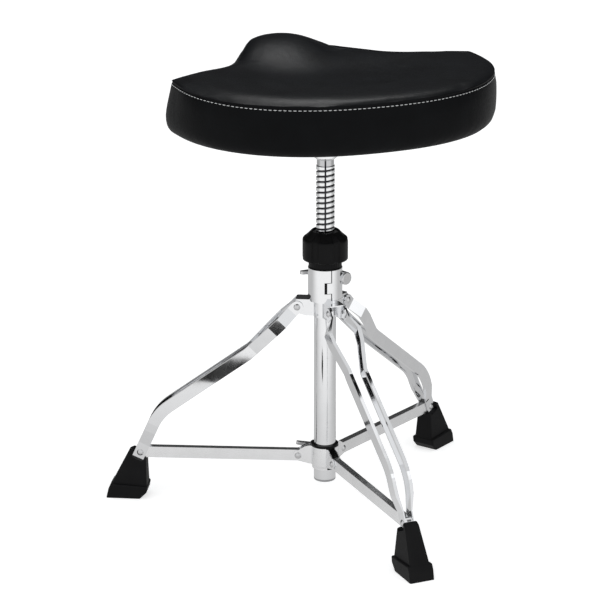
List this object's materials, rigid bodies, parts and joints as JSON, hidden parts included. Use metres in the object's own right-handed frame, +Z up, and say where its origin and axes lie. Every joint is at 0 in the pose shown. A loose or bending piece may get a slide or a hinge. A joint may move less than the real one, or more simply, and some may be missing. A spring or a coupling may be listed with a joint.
{
  "type": "drum throne",
  "caption": "Folding drum stool with a round-backed saddle seat, threaded height post, clamp collar and a double-braced tripod on rubber feet.",
  "frame": {"origin": "on the floor, at the middle of the bounding box; the tube's axis is at x = 37.2 mm, y = 12.1 mm", "axes": "+Z up along the tube; the front leg points near -Y, the others 120 degrees round; the seat's nose is turned 22.5 degrees from +Y towards -X"},
  "size_m": [0.5026, 0.5126, 0.605],
  "materials": {
    "chrome": "bright chrome plate",
    "satin_chrome": "satin chrome plate",
    "zinc": "zinc plated fastener",
    "vinyl": "soft black grained vinyl",
    "foam": "open-cell foam",
    "plywood": "raw birch plywood",
    "dust_cloth": "black non-woven cloth",
    "nylon": "black moulded nylon",
    "rubber": "black rubber",
    "grey_plastic": "grey moulded plug"
  },
  "bodies": {
    "stand": {"base_tube": "chrome", "tube_end_cap": "grey_plastic", "collar_sleeve": "chrome", "clamp_half": "chrome", "collar_bush": "nylon", "guide_key": "zinc", "clamp_bolt": "zinc", "clamp_washer": "zinc", "bracket_top_plate": "chrome", "leg_bracket_left": "chrome", "leg_bracket_front": "chrome", "leg_bracket_right": "chrome"},
    "lower_collar": {"stay_bracket_left": "satin_chrome", "stay_bracket_front": "satin_chrome", "stay_bracket_right": "satin_chrome", "sliding_bush": "nylon", "collar_boss": "satin_chrome", "stay_rivets": "zinc"},
    "stay_arm_left": {"stay_left": "satin_chrome"},
    "leg_left": {"leg_strip_a_left": "chrome", "leg_strip_b_left": "chrome", "fold_rivets_left": "zinc", "foot_rivet_left": "zinc", "rubber_boot_left": "rubber"},
    "stay_arm_front": {"stay_front": "satin_chrome"},
    "leg_front": {"leg_strip_a_front": "chrome", "leg_strip_b_front": "chrome", "fold_rivets_front": "zinc", "foot_rivet_front": "zinc", "rubber_boot_front": "rubber"},
    "stay_arm_right": {"stay_right": "satin_chrome"},
    "leg_right": {"leg_strip_a_right": "chrome", "leg_strip_b_right": "chrome", "fold_rivets_right": "zinc", "foot_rivet_right": "zinc", "rubber_boot_right": "rubber"},
    "post": {"seat_post": "chrome", "post_guide": "nylon"},
    "knob": {"height_knob": "nylon", "knob_nut": "zinc", "knob_washer": "nylon"},
    "seat": {"seat_cover": "vinyl", "seat_foam": "foam", "seat_board": "plywood", "dust_cloth": "dust_cloth", "seat_bracket": "satin_chrome", "seat_bolts": "zinc", "seat_washers": "zinc", "tee_nuts": "zinc", "seat_lock_bolt": "zinc"},
    "clamp_wing": {"clamp_wing_nut": "zinc"},
    "collar_wing": {"collar_wing_bolt": "zinc"}
  },
  "joints": [
    {"name": "lower_collar_slide", "type": "slide", "parent": "stand", "child": "lower_collar", "axis": [0, 0, 1], "range_m": [0, 0.11917]},
    {"name": "stay_hinge_left", "type": "hinge", "parent": "lower_collar", "child": "stay_arm_left", "pos_m": [0.00273, 0.01525, 0.0652], "axis": [-0.0924, -0.9957, 0], "range_deg": [0, 81.6]},
    {"name": "foot_hinge_left", "type": "hinge", "parent": "stay_arm_left", "child": "leg_left", "pos_m": [-0.20517, 0.03454, 0.062], "axis": [-0.0924, -0.9957, 0], "range_deg": [-42, 0]},
    {"name": "stay_hinge_front", "type": "hinge", "parent": "lower_collar", "child": "stay_arm_front", "pos_m": [0.05164, -0.01938, 0.0652], "axis": [0.9085, 0.4179, 0], "range_deg": [0, 81.6]},
    {"name": "foot_hinge_front", "type": "hinge", "parent": "stay_arm_front", "child": "leg_front", "pos_m": [0.13889, -0.20908, 0.062], "axis": [0.9085, 0.4179, 0], "range_deg": [-42, 0]},
    {"name": "stay_hinge_right", "type": "hinge", "parent": "lower_collar", "child": "stay_arm_right", "pos_m": [0.05718, 0.04029, 0.0652], "axis": [-0.8161, 0.5779, 0], "range_deg": [0, 81.6]},
    {"name": "foot_hinge_right", "type": "hinge", "parent": "stay_arm_right", "child": "leg_right", "pos_m": [0.17784, 0.2107, 0.062], "axis": [-0.8161, 0.5779, 0], "range_deg": [-42, 0]},
    {"name": "post_height", "type": "slide", "parent": "stand", "child": "post", "axis": [0, 0, 1], "range_m": [-0.085, 0.06]},
    {"name": "knob_turn", "type": "hinge", "parent": "stand", "child": "knob", "pos_m": [0.03719, 0.01205, 0.35], "axis": [0, 0, 1], "range_deg": [-3090, 4375]},
    {"name": "seat_swivel", "type": "hinge", "parent": "post", "child": "seat", "pos_m": [0.03719, 0.01205, 0.5], "axis": [0, 0, 1], "continuous": true},
    {"name": "clamp_wing_turn", "type": "hinge", "parent": "stand", "child": "clamp_wing", "pos_m": [0.03111, 0.04133, 0.309], "axis": [-0.7071, 0.7071, 0], "range_deg": [0, 720]},
    {"name": "collar_wing_turn", "type": "hinge", "parent": "lower_collar", "child": "collar_wing", "pos_m": [0.02465, 0.03931, 0.069], "axis": [-0.4179, 0.9085, 0], "range_deg": [0, 720]}
  ],
  "couplings": [
    {"joint": "stay_hinge_left", "follows": "lower_collar_slide", "rad_per_m": 11.945},
    {"joint": "foot_hinge_left", "follows": "lower_collar_slide", "rad_per_m": -6.1451},
    {"joint": "stay_hinge_front", "follows": "lower_collar_slide", "rad_per_m": 11.945},
    {"joint": "foot_hinge_front", "follows": "lower_collar_slide", "rad_per_m": -6.1451},
    {"joint": "stay_hinge_right", "follows": "lower_collar_slide", "rad_per_m": 11.945},
    {"joint": "foot_hinge_right", "follows": "lower_collar_slide", "rad_per_m": -6.1451},
    {"joint": "knob_turn", "follows": "post_height", "rad_per_m": -897.6}
  ]
}
